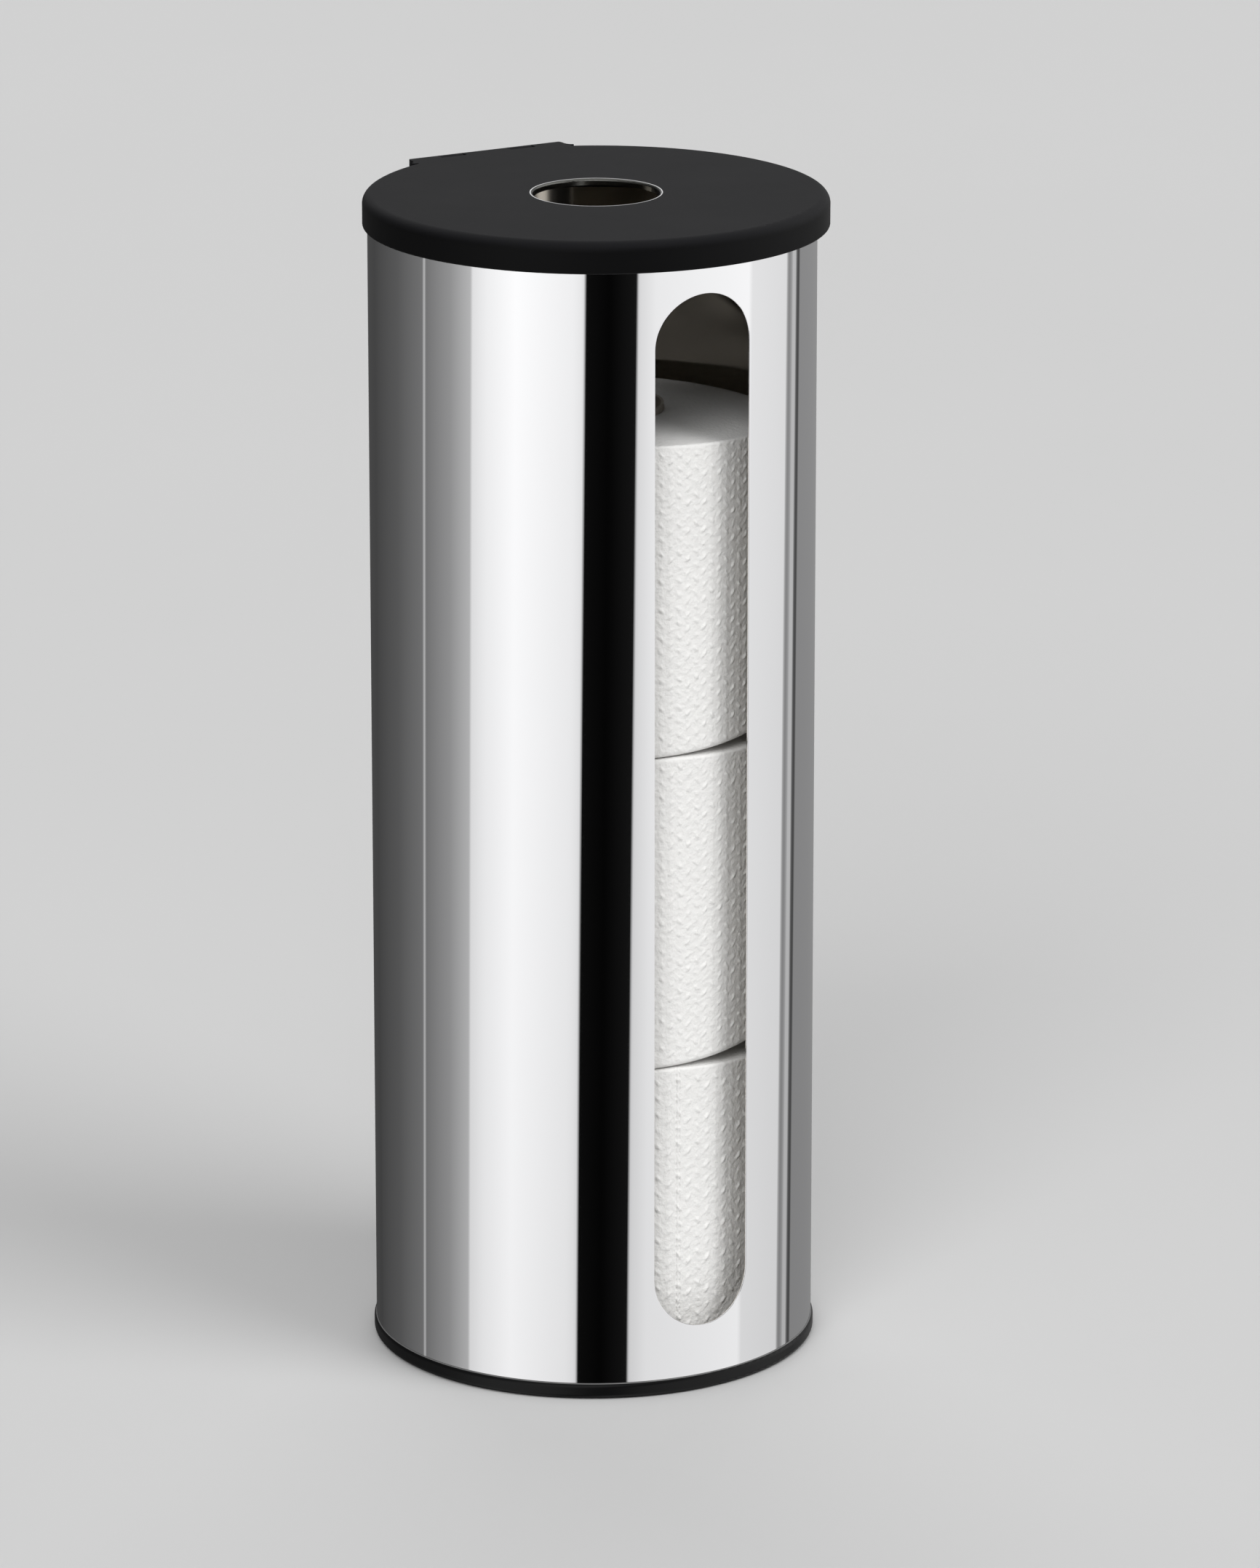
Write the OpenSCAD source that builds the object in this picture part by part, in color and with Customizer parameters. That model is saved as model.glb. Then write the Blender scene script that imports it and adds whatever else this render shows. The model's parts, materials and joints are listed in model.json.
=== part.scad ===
// Wall-hung storage tube for spare toilet rolls: a polished steel tube with a full-length front slot,
// a black moulded base cap, and a black moulded lid that swings up on a pinned hinge at the wall.
// Modelled upright about the tube's axis, with the base cap's underside at z = 0 and the front at -Y,
// then moved so that the origin lies on the wall, midway between the two wall screws.

/* [Tube] */
// Outer diameter of the steel tube
tube_d = 135; // [130:1:150]
// Wall thickness of the steel tube
tube_wall = 0.8; // [0.6:0.1:1.5]
// Length of the steel tube
tube_h = 345.2; // [325:0.1:365]

/* [Front slot] */
// Width of the slot, whose ends are half circles
slot_w = 32; // [24:1:44]
// Steel left below the slot
slot_foot = 15.7; // [8:0.1:40]
// Steel left above the slot
slot_head = 8.4; // [5:0.1:40]

/* [Base cap] */
// Height of the rim that the tube stands on
rim_h = 5; // [4:0.5:12]
// How far the rim stands proud of the tube
rim_proud = 0.7; // [0.3:0.1:3]
// Rounding of the rim's outer edges
rim_round = 1.4; // [0.5:0.1:1.8]
// Width of the ring that the rim stands on
foot_w = 6; // [4:0.5:12]
// Thickness of the floor under the rolls
floor_t = 2; // [1.5:0.1:3]
// Height of the floor's underside above the standing ring
floor_lift = 1; // [0.5:0.1:1.5]
// Height of the collar that plugs into the tube
collar_h = 10; // [6:0.5:20]
// Wall thickness of the collar
collar_wall = 1.6; // [1.2:0.1:2.5]
// Play between the collar and the tube
collar_play = 0.3; // [0.2:0.05:0.6]
// Number of wedging ribs round the collar
collar_ribs = 12; // [6:1:24]

/* [Lid] */
// Overall height of the lid
lid_h = 9.5; // [8:0.5:14]
// Thickness of the lid's plate and skirt
lid_wall = 2; // [1.6:0.1:2.6]
// How much wider than the tube the lid is, on the radius
lid_spread = 2.6; // [1.5:0.1:4]
// How far the lid's rear edge stands proud of the tube: the rest of the spread is at the front
lid_proud = 0.2; // [0.1:0.1:1]
// Rounding of the lid's upper edge
lid_round = 3; // [1.5:0.1:4]
// Rounding of the skirt's lower edge
skirt_round = 0.6; // [0.3:0.1:0.9]
// Diameter of the round hole in the lid
lid_hole_d = 38; // [25:1:60]
// Rounding of the hole's upper edge
hole_round = 0.7; // [0.3:0.1:1]
// Gap between the lid and the tube's upper edge
lid_rest = 0.3; // [0.2:0.05:0.5]
// Depth of the locating rib inside the tube
rib_depth = 3; // [2:0.5:5]
// Thickness of the locating rib
rib_wall = 1.5; // [1.2:0.1:2.2]
// Play between the locating rib and the tube
rib_play = 0.7; // [0.6:0.1:1.5]

/* [Hinge] */
// Width of the straight-edged tab at the lid's rear
tab_w = 53; // [46:1:70]
// Rounding of the tab's corners, seen from above
tab_round = 4; // [1:0.5:5]
// Rounding of the inner corners between the tab and the lid's disc
tab_blend = 3; // [1:0.5:5]
// Diameter of the hinge barrel
barrel_d = 5; // [4.5:0.1:6]
// Thickness, at the pin, of the bracket's arms that pass behind the tube
hinge_arm = 1.6; // [1.4:0.1:2.2]
// Width of each end knuckle, on the lid
end_knuckle_w = 10.2; // [8:0.1:13]
// Width of each of the wall bracket's two knuckles
knuckle_w = 8; // [6:0.5:9]
// Side gap between neighbouring knuckles, and round the barrel
knuckle_gap = 0.3; // [0.2:0.05:0.5]
// Diameter of the hinge pin
pin_d = 2.5; // [2:0.1:3]
// Play of the pin in its bores, on the radius
pin_play = 0.05; // [0.03:0.01:0.08]
// Plastic left over the pin's blind end
pin_cover = 2.2; // [1.8:0.1:3]

/* [Wall fixing] */
// Gap between the tube and the wall
wall_gap = 4.5; // [4.5:0.5:12]
// Height of the lower wall screw above the tube's lower edge
spacer_rise = 60.7; // [40:0.1:150]
// Diameter of the wall screw holes
wall_hole_d = 5; // [4:0.5:6]
// Height of the wall bracket and of the lower spacer
bracket_h = 46; // [40:1:60]
// Width of the lower spacer
spacer_w = 36; // [26:1:50]
// Distance from the tube's upper edge down to the bracket
bracket_drop = 1.5; // [1:0.1:5]
// Thickness of the bracket's back plate and outer walls
bracket_wall = 2.4; // [2:0.1:3]
// Width of the solid spine that takes the screws
spine_w = 13; // [11:0.5:16]
// Rounding of the bracket's corners at the wall
bracket_round = 2; // [1:0.5:3]
// Gap between the bracket's saddle and the tube
saddle_gap = 0.05; // [0.03:0.01:0.2]
// Distance from a wall screw to each fixing screw
fixing_offset = 14; // [11:0.5:16]
// Diameter of the fixing screws
fixing_d = 3.8; // [3:0.1:4.5]
// Length of the fixing screws under the head
fixing_length = 4.4; // [3.6:0.1:4.8]
// Diameter of the fixing screws' pan heads
head_d = 7.2; // [6:0.1:9]
// Height of the pan heads
head_h = 2.3; // [1.8:0.1:3]

/* [Rolls] */
// Gap between a roll and the steel all round
roll_play = 7.7; // [5:0.1:20]
// Height of a roll
roll_h = 97.5; // [90:0.5:104]
// Outer diameter of the cardboard core
core_d = 43; // [38:1:48]
// Wall thickness of the cardboard core
core_wall = 0.9; // [0.6:0.1:1.5]
// Rounding of a roll's outer edges
roll_round = 2; // [1:0.5:6]

/* [Hidden] */
$fn = 96;
overcut = 1;

tube_r = tube_d / 2;
bore_r = tube_r - tube_wall;
tube_z = rim_h;
tube_top = tube_z + tube_h;

rim_r = tube_r + rim_proud;
floor_top = floor_lift + floor_t;
collar_r = bore_r - collar_play;
collar_rib_gap = 0.05;
collar_rib_r = 0.8;
collar_chamfer = 0.6;

lid_z = tube_top + lid_rest;
lid_r = tube_r + lid_spread;
lid_forward = lid_spread - lid_proud;
locating_r = bore_r - rib_play;
seat_r = bore_r + tube_wall / 2;

wall_y = tube_r + wall_gap;
saddle_r = tube_r + saddle_gap;
bracket_top = tube_top - bracket_drop;
upper_screw_z = bracket_top - bracket_h / 2;
lower_screw_z = tube_z + spacer_rise;
pattern_z = (upper_screw_z + lower_screw_z) / 2;

barrel_r = barrel_d / 2;
hinge_y = saddle_r + hinge_arm - barrel_r;
hinge_z = lid_z + lid_h - barrel_r;
pin_bore_r = pin_d / 2 + pin_play;
pin_length = tab_w - 2 * pin_cover;
knuckle_x = tab_w / 2 - end_knuckle_w - knuckle_gap - knuckle_w / 2;
tab_back = hinge_y + barrel_r;
tab_root = tube_r - lid_wall - tab_round;
flat_r = lid_r - lid_round;
tab_front = sqrt(flat_r * flat_r - tab_w * tab_w / 4) - lid_forward - skirt_round;
blend_bite = 0.3;
blend_reach = lid_r + tab_blend - blend_bite;
blend_x = tab_w / 2 + tab_blend;
blend_y = sqrt(blend_reach * blend_reach - blend_x * blend_x) - lid_forward;
blend_foot = tab_blend + 1;
arm_foot = bracket_wall;
arm_setback = 1;

fixing_play = 0.05;
fixing_hole_play = 0.2;
head_seat = sqrt(bore_r * bore_r - head_d * head_d / 4) - saddle_gap;
head_round = 1;
recess_w = 0.9;
recess_length = 4;
recess_depth = 1.3;
fixing_tip_gap = 0.3;

roll_r = bore_r - roll_play;
core_r = core_d / 2;
core_short = 0.5;
core_paper_gap = 0.1;

tube_color = "#d3d4d6";
plastic_color = "#1b1b1d";
steel_color = "#b9bbbe";
paper_color = "#f4f2ee";
card_color = "#b39b7e";

// Moves a piece from the tube's own frame to the frame on the wall.
module on_wall() {
    translate([0, -wall_y, -pattern_z]) children();
}

// Turns a drawing in the plane of Y and Z into a bar of width w, centred on x = 0.
module bar_along_x(w) {
    rotate([90, 0, 90]) linear_extrude(height = w, center = true) children();
}

// A cylinder that runs towards the wall from y = from.
module towards_wall(r, from, to, z) {
    translate([0, from, z]) rotate([-90, 0, 0]) cylinder(r = r, h = to - from);
}

// Half of a disc's section, with its upper and lower outer edges rounded.
module disc_section(r, h, upper, lower) {
    square([r - lower, h / 2]);
    translate([0, h / 2]) square([r - upper, h / 2]);
    translate([0, lower]) square([r, h - upper - lower]);
    translate([r - upper, h - upper]) circle(r = upper);
    translate([r - lower, lower]) circle(r = lower);
}

// The outline of the front slot, standing on its lower end.
module slot_outline() {
    slot_h = tube_h - slot_foot - slot_head;
    translate([-slot_w / 2, slot_w / 2]) square([slot_w, slot_h - slot_w]);
    for (y = [slot_w / 2, slot_h - slot_w / 2]) translate([0, y]) circle(d = slot_w);
}

module tube() {
    color(tube_color) on_wall() difference() {
        translate([0, 0, tube_z]) cylinder(r = tube_r, h = tube_h);
        translate([0, 0, tube_z - overcut]) cylinder(r = bore_r, h = tube_h + 2 * overcut);
        translate([0, 0, tube_z + slot_foot]) rotate([90, 0, 0])
            linear_extrude(height = tube_r + overcut) slot_outline();
        for (z = [upper_screw_z, lower_screw_z]) {
            towards_wall(wall_hole_d / 2, bore_r - tube_wall, tube_r + overcut, z);
            for (side = [-1, 1])
                towards_wall(fixing_d / 2 + fixing_hole_play, bore_r - tube_wall, tube_r + overcut,
                             z + side * fixing_offset);
        }
    }
}

// The collar that plugs into the tube, with a chamfered mouth.
module collar_section() {
    collar_in = collar_r - collar_wall;
    collar_top = rim_h + collar_h;
    polygon([
        [collar_in, floor_lift],
        [collar_r, floor_lift],
        [collar_r, collar_top - collar_chamfer],
        [collar_r - collar_chamfer, collar_top],
        [collar_in, collar_top]
    ]);
}

module base_cap() {
    color(plastic_color) on_wall() {
        difference() {
            union() {
                rotate_extrude() difference() {
                    disc_section(rim_r, rim_h, rim_round, rim_round);
                    square([collar_r - collar_wall, rim_h]);
                }
                rotate_extrude() collar_section();
                translate([0, 0, floor_lift]) cylinder(r = collar_r, h = floor_t);
            }
            translate([0, 0, -overcut]) cylinder(r = rim_r - foot_w, h = floor_lift + overcut);
        }
        for (i = [0 : collar_ribs - 1])
            rotate([0, 0, (i + 0.5) * 360 / collar_ribs])
                translate([collar_r - collar_rib_r + collar_play - collar_rib_gap, 0, rim_h])
                    cylinder(r = collar_rib_r, h = collar_h - 2 * collar_chamfer);
    }
}

// Seen from above: a block between the tube and the wall, hollowed to sit on the tube.
module saddle_outline(w) {
    difference() {
        union() {
            translate([-w / 2, 0]) square([w, wall_y - bracket_round]);
            translate([-w / 2 + bracket_round, 0]) square([w - 2 * bracket_round, wall_y]);
            for (side = [-1, 1])
                translate([side * (w / 2 - bracket_round), wall_y - bracket_round])
                    circle(r = bracket_round);
        }
        circle(r = saddle_r);
        translate([-w, 0]) square([2 * w, sqrt(saddle_r * saddle_r - w * w / 4)]);
    }
}

// A moulded saddle, open towards the tube on both sides of its spine, with its screw holes.
module saddle_block(w, screw_z) {
    difference() {
        translate([0, 0, screw_z - bracket_h / 2]) linear_extrude(height = bracket_h)
            saddle_outline(w);
        for (side = [-1, 1])
            translate([side * (w / 2 - bracket_wall + spine_w / 2) / 2, wall_y / 2 - bracket_wall / 2, screw_z])
                cube([w / 2 - bracket_wall - spine_w / 2, wall_y - bracket_wall,
                      bracket_h - 2 * bracket_wall], center = true);
        towards_wall(wall_hole_d / 2, 0, wall_y + overcut, screw_z);
        for (side = [-1, 1])
            towards_wall(fixing_d / 2 + fixing_play, 0, head_seat + fixing_length + fixing_tip_gap,
                         screw_z + side * fixing_offset);
    }
}

// One of the wall bracket's knuckles, on an arm that tapers up behind the tube's edge.
module bracket_knuckle() {
    bar_along_x(knuckle_w) {
        translate([hinge_y, hinge_z]) circle(r = barrel_r);
        polygon([
            [saddle_r, bracket_top - arm_foot],
            [wall_y - arm_setback, bracket_top - arm_foot],
            [wall_y - arm_setback, bracket_top],
            [tab_back, hinge_z],
            [saddle_r, hinge_z]
        ]);
    }
}

module pin_bore(from, to) {
    translate([from, hinge_y, hinge_z]) rotate([0, 90, 0]) cylinder(r = pin_bore_r, h = to - from);
}

module wall_bracket() {
    color(plastic_color) on_wall() difference() {
        union() {
            saddle_block(tab_w, upper_screw_z);
            for (side = [-1, 1]) translate([side * knuckle_x, 0, 0]) bracket_knuckle();
        }
        pin_bore(-tab_w / 2, tab_w / 2);
    }
}

module wall_spacer() {
    color(plastic_color) on_wall() saddle_block(spacer_w, lower_screw_z);
}

// A pan-head screw that points towards the wall, its head's underside at y = 0.
module fixing_screw() {
    rotate([-90, 0, 0]) {
        cylinder(d = fixing_d, h = fixing_length);
        difference() {
            rotate([180, 0, 0]) rotate_extrude() {
                square([head_d / 2, head_h - head_round]);
                square([head_d / 2 - head_round, head_h]);
                translate([head_d / 2 - head_round, head_h - head_round]) circle(r = head_round);
            }
            for (turn = [0, 90])
                rotate([0, 0, turn]) translate([0, 0, -head_h])
                    cube([recess_length, recess_w, 2 * recess_depth], center = true);
        }
    }
}

module fixing_screws() {
    color(steel_color) on_wall()
        for (z = [upper_screw_z, lower_screw_z], side = [-1, 1])
            translate([0, head_seat, z + side * fixing_offset]) fixing_screw();
}

// The lid's cap, set forward of the tube so that its front edge is a lip for the finger.
module lid_cap() {
    translate([0, -lid_forward, 0]) rotate_extrude() difference() {
        disc_section(lid_r, lid_h, lid_round, skirt_round);
        square([lid_r - lid_wall, lid_h - lid_wall]);
    }
}

// The stepped ring under the plate: it stands over the tube's edge and locates inside the tube.
module locating_ring() {
    plate_z = lid_h - lid_wall / 2;
    rotate_extrude() {
        translate([locating_r - rib_wall, -rib_depth - lid_rest])
            square([rib_wall, plate_z + rib_depth + lid_rest]);
        translate([locating_r, 0]) square([seat_r - locating_r, plate_z]);
    }
}

// Seen from above: the curved inner corner between one side of the tab and the lid's disc.
module tab_blend_outline(side) {
    foot_x = blend_x * (1 - blend_foot / blend_reach);
    foot_y = blend_y - (blend_y + lid_forward) * blend_foot / blend_reach;
    difference() {
        polygon([
            [side * (tab_w / 2 - tab_blend), blend_y],
            [side * blend_x, blend_y],
            [side * foot_x, foot_y],
            [side * (tab_w / 2 - tab_blend), foot_y]
        ]);
        translate([side * blend_x, blend_y]) circle(r = tab_blend);
    }
}

// Seen from above: the tab, with rounded rear corners, up to the line where its slab begins.
module tab_outline() {
    translate([-tab_w / 2, tab_root]) square([tab_w, tab_back - tab_round - tab_root]);
    translate([tab_round - tab_w / 2, tab_root])
        square([tab_w - 2 * tab_round, tab_back - tab_root]);
    for (side = [-1, 1]) {
        translate([side * (tab_w / 2 - tab_round), tab_back - tab_round]) circle(r = tab_round);
        tab_blend_outline(side);
    }
}

// The straight-edged tab behind the lid, whose rear edge is the hinge barrel.
// A plate carries its flat top forward over the disc's rounded edge.
module hinge_tab() {
    intersection() {
        translate([0, 0, hinge_z - barrel_r]) linear_extrude(height = barrel_d) tab_outline();
        bar_along_x(2 * blend_x) {
            translate([tab_front, hinge_z - barrel_r]) square([hinge_y - tab_front, barrel_d]);
            translate([hinge_y, hinge_z]) circle(r = barrel_r);
        }
    }
    translate([-tab_w / 2, tab_front, lid_z + lid_h - lid_wall])
        cube([tab_w, tab_root - tab_front + lid_wall, lid_wall]);
}

// The hole in the plate, with its upper edge rounded.
module finger_hole() {
    hole_r = lid_hole_d / 2;
    rotate_extrude() {
        square([hole_r, lid_h + overcut]);
        difference() {
            translate([0, lid_h - hole_round]) square([hole_r + hole_round, hole_round + overcut]);
            translate([hole_r + hole_round, lid_h - hole_round]) circle(r = hole_round);
        }
    }
}

module lid() {
    gap_front = hinge_y - barrel_r - knuckle_gap;
    gap_w = knuckle_w + 2 * knuckle_gap;
    color(plastic_color) on_wall() difference() {
        union() {
            translate([0, 0, lid_z]) {
                lid_cap();
                locating_ring();
            }
            hinge_tab();
        }
        translate([0, -lid_forward, lid_z]) finger_hole();
        for (side = [-1, 1])
            translate([side * knuckle_x - gap_w / 2, gap_front, lid_z - rib_depth - overcut])
                cube([gap_w, wall_y, lid_h + rib_depth + 2 * overcut]);
        pin_bore(pin_cover - tab_w / 2, tab_w / 2 + overcut);
    }
}

module hinge_pin() {
    color(steel_color) on_wall()
        translate([pin_cover + pin_play - tab_w / 2, hinge_y, hinge_z])
            rotate([0, 90, 0]) cylinder(d = pin_d, h = pin_length);
}

// The wound paper of the roll at one level of the stack, where 0 is the bottom.
module roll_paper(level) {
    inner_r = core_r + core_paper_gap;
    color(paper_color) on_wall() translate([0, 0, floor_top + level * roll_h])
        rotate_extrude() difference() {
            disc_section(roll_r, roll_h, roll_round, roll_round);
            square([inner_r, roll_h]);
        }
}

// The cardboard core of the roll at one level of the stack.
module roll_core(level) {
    color(card_color) on_wall() translate([0, 0, floor_top + level * roll_h + core_short])
        difference() {
            cylinder(r = core_r, h = roll_h - 2 * core_short);
            translate([0, 0, -overcut])
                cylinder(r = core_r - core_wall, h = roll_h + 2 * overcut);
        }
}

module roll_paper_bottom() { roll_paper(0); }
module roll_core_bottom() { roll_core(0); }
module roll_paper_middle() { roll_paper(1); }
module roll_core_middle() { roll_core(1); }
module roll_paper_top() { roll_paper(2); }
module roll_core_top() { roll_core(2); }

tube();
base_cap();
wall_bracket();
wall_spacer();
fixing_screws();
lid();
hinge_pin();
roll_paper_bottom();
roll_core_bottom();
roll_paper_middle();
roll_core_middle();
roll_paper_top();
roll_core_top();
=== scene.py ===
"""Looks of the wall-hung storage tube for spare toilet rolls, laid out as an add-on.

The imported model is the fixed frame. The steel tube and the three paper windings are modelled here,
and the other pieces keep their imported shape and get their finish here.
"""

import json
import math

import bmesh
import bpy
import numpy as np
from bpy.props import FloatProperty, FloatVectorProperty, IntProperty, PointerProperty
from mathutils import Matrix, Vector

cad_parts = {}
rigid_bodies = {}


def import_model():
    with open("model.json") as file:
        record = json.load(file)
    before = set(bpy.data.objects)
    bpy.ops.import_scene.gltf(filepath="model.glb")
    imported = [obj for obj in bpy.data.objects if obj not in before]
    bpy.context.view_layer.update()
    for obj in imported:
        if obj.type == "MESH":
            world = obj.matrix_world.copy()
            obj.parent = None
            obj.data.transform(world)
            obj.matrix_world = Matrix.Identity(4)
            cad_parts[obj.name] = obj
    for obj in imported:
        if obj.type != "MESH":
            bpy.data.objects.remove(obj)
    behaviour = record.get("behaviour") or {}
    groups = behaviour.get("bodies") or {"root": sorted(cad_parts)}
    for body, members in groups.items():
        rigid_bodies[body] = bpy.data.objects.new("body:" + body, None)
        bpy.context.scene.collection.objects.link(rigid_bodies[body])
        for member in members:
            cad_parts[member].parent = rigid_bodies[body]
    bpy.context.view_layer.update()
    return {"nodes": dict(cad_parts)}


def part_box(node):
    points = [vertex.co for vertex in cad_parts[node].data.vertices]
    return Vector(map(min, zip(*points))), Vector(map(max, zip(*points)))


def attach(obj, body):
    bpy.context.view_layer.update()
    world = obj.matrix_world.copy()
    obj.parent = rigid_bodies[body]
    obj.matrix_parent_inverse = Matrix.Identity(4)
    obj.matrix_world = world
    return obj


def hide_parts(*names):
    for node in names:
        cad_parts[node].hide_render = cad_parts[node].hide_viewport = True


bl_info = {
    "name": "Toilet Roll Storage Tube",
    "version": (1, 0, 0),
    "blender": (4, 5, 0),
    "location": "View3D > Sidebar > Roll Tube",
    "description": "Builds the finish of a wall-hung steel tube that stores spare toilet rolls",
    "category": "Object",
}

for leftover in list(bpy.data.objects):
    bpy.data.objects.remove(leftover)

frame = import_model()

MM = 0.001

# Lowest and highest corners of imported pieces, and what follows from them
TUBE_LOW, TUBE_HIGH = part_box("tube")
LID_LOW, LID_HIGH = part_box("lid")
BASE_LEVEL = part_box("base_cap")[0].z
AXIS_Y = (TUBE_LOW.y + TUBE_HIGH.y) / 2
TUBE_RADIUS = (TUBE_HIGH.x - TUBE_LOW.x) / 2
LID_AXIS_Y = LID_LOW.y + (LID_HIGH.x - LID_LOW.x) / 2


class SteelLooks(bpy.types.PropertyGroup):
    """Sizes and finish of the polished steel."""

    colour: FloatVectorProperty(
        name="Colour",
        description="Reflected colour of the polished steel",
        subtype="COLOR",
        size=3,
        default=(0.87, 0.87, 0.88),
        min=0.0,
        max=1.0,
    )
    roughness: FloatProperty(
        name="Roughness",
        description="Blur of the reflections on the polished steel",
        subtype="FACTOR",
        default=0.022,
        min=0.0,
        max=1.0,
    )
    # The inner face's darker warm tone is partly its mill finish and partly painted shade and
    # painted reflection of the paper.
    inner_colour_and_shade: FloatVectorProperty(
        name="Inner colour",
        description="Reflected colour of the unpolished inner face",
        subtype="COLOR",
        size=3,
        default=(0.52, 0.48, 0.42),
        min=0.0,
        max=1.0,
    )
    inner_haze: FloatProperty(
        name="Inner haze",
        description="Roughness that the unpolished inner face has on top",
        subtype="FACTOR",
        default=0.07,
        min=0.0,
        max=1.0,
    )
    wall: FloatProperty(
        name="Wall",
        description="Thickness of the steel",
        subtype="DISTANCE",
        unit="LENGTH",
        default=0.8 * MM,
        min=0.6 * MM,
        max=1.5 * MM,
    )
    slot_width: FloatProperty(
        name="Slot width",
        description="Width of the front slot",
        subtype="DISTANCE",
        unit="LENGTH",
        default=32 * MM,
        min=24 * MM,
        max=44 * MM,
    )
    slot_foot: FloatProperty(
        name="Steel below the slot",
        description="Distance from the tube's lower edge to the slot",
        subtype="DISTANCE",
        unit="LENGTH",
        default=15.7 * MM,
        min=8 * MM,
        max=40 * MM,
    )
    slot_head: FloatProperty(
        name="Steel above the slot",
        description="Distance from the slot to the tube's upper edge",
        subtype="DISTANCE",
        unit="LENGTH",
        default=8.4 * MM,
        min=5 * MM,
        max=40 * MM,
    )
    edge: FloatProperty(
        name="Edge rounding",
        description="Width of the polished round on the slot's edges",
        subtype="DISTANCE",
        unit="LENGTH",
        default=0.22 * MM,
        min=0.05 * MM,
        max=0.35 * MM,
    )


class PlasticLooks(bpy.types.PropertyGroup):
    """Finish of the black mouldings."""

    colour: FloatVectorProperty(
        name="Colour",
        description="Colour of the moulded plastic",
        subtype="COLOR",
        size=3,
        default=(0.0072, 0.0072, 0.0082),
        min=0.0,
        max=1.0,
    )
    # The darker colour is painted shade: it darkens the lid's sides and the whole base cap.
    painted_shade_colour: FloatVectorProperty(
        name="Side colour",
        description="Colour of the lid's sides and of the base cap, which are darker than the top",
        subtype="COLOR",
        size=3,
        default=(0.0015, 0.0015, 0.0017),
        min=0.0,
        max=1.0,
    )
    roughness: FloatProperty(
        name="Roughness",
        description="Matte level of the moulded surface",
        subtype="FACTOR",
        default=0.5,
        min=0.0,
        max=1.0,
    )
    base_roughness: FloatProperty(
        name="Base roughness",
        description="Matte level of the base cap, which is smoother than the lid",
        subtype="FACTOR",
        default=0.32,
        min=0.0,
        max=1.0,
    )
    grain: FloatProperty(
        name="Grain size",
        description="Size of the fine moulded grain",
        subtype="DISTANCE",
        unit="LENGTH",
        default=0.45 * MM,
        min=0.1 * MM,
        max=2 * MM,
    )
    # The painted highlight round the lid's hole starts at this radius.
    hole_edge: FloatProperty(
        name="Hole edge",
        description="Radius at which the lid's hole has its light edge",
        subtype="DISTANCE",
        unit="LENGTH",
        default=19.6 * MM,
        min=15 * MM,
        max=30 * MM,
    )
    # These thin light lines are painted highlights.
    highlight_line: FloatProperty(
        name="Edge line",
        description="Width of the thin light lines along the mouldings' edges",
        subtype="DISTANCE",
        unit="LENGTH",
        default=0.35 * MM,
        min=0.1 * MM,
        max=1 * MM,
    )


class PaperLooks(bpy.types.PropertyGroup):
    """Sizes and finish of the embossed tissue."""

    colour: FloatVectorProperty(
        name="Colour",
        description="Colour of the tissue",
        subtype="COLOR",
        size=3,
        default=(0.86, 0.855, 0.84),
        min=0.0,
        max=1.0,
    )
    relief: FloatProperty(
        name="Emboss height",
        description="Height of the embossed dashes",
        subtype="DISTANCE",
        unit="LENGTH",
        default=0.45 * MM,
        min=0.0,
        max=0.9 * MM,
    )
    dash_length: FloatProperty(
        name="Dash length",
        description="Length of an embossed dash",
        subtype="DISTANCE",
        unit="LENGTH",
        default=1.9 * MM,
        min=0.5 * MM,
        max=6 * MM,
    )
    dash_width: FloatProperty(
        name="Dash width",
        description="Half width of an embossed dash at its foot",
        subtype="DISTANCE",
        unit="LENGTH",
        default=0.8 * MM,
        min=0.3 * MM,
        max=2 * MM,
    )
    row_pitch: FloatProperty(
        name="Row pitch",
        description="Height after which a column of dashes repeats",
        subtype="DISTANCE",
        unit="LENGTH",
        default=4.4 * MM,
        min=3 * MM,
        max=20 * MM,
    )
    columns: IntProperty(
        name="Columns",
        description="Number of columns of dashes round a roll",
        default=124,
        min=20,
        max=200,
    )
    slack: FloatProperty(
        name="Slack",
        description="How far a loosely wound roll falls short of round at its rear",
        subtype="DISTANCE",
        unit="LENGTH",
        default=3 * MM,
        min=0.0,
        max=6 * MM,
    )
    rounding: FloatProperty(
        name="Edge rounding",
        description="Rounding of a roll's lower outer edge",
        subtype="DISTANCE",
        unit="LENGTH",
        default=1.7 * MM,
        min=1 * MM,
        max=6 * MM,
    )


class StageLooks(bpy.types.PropertyGroup):
    """Floor, lamps and camera."""

    floor_colour: FloatVectorProperty(
        name="Floor colour",
        description="Colour of the plain floor",
        subtype="COLOR",
        size=3,
        default=(0.62, 0.62, 0.62),
        min=0.0,
        max=1.0,
    )
    front_lamp: FloatProperty(
        name="Front lamp",
        description="Strength of the broad lamp at the front",
        default=1.45,
        min=0.0,
        max=10.0,
    )
    side_lamp: FloatProperty(
        name="Side lamp",
        description="Strength of the broad lamp beside the camera",
        default=1.1,
        min=0.0,
        max=10.0,
    )
    top_lamp: FloatProperty(
        name="Top lamp",
        description="Strength of the broad lamp overhead",
        default=0.4,
        min=0.0,
        max=10.0,
    )
    rear_lamp: FloatProperty(
        name="Rear lamp",
        description="Strength of the weak broad lamp behind the tube",
        default=0.7,
        min=0.0,
        max=10.0,
    )
    fill: FloatProperty(
        name="Fill",
        description="Strength of the even light from all round",
        default=0.36,
        min=0.0,
        max=2.0,
    )
    lens: FloatProperty(
        name="Lens",
        description="Focal length on a 36 mm sensor",
        subtype="DISTANCE_CAMERA",
        unit="CAMERA",
        default=190.4,
        min=20.0,
        max=400.0,
    )


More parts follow.
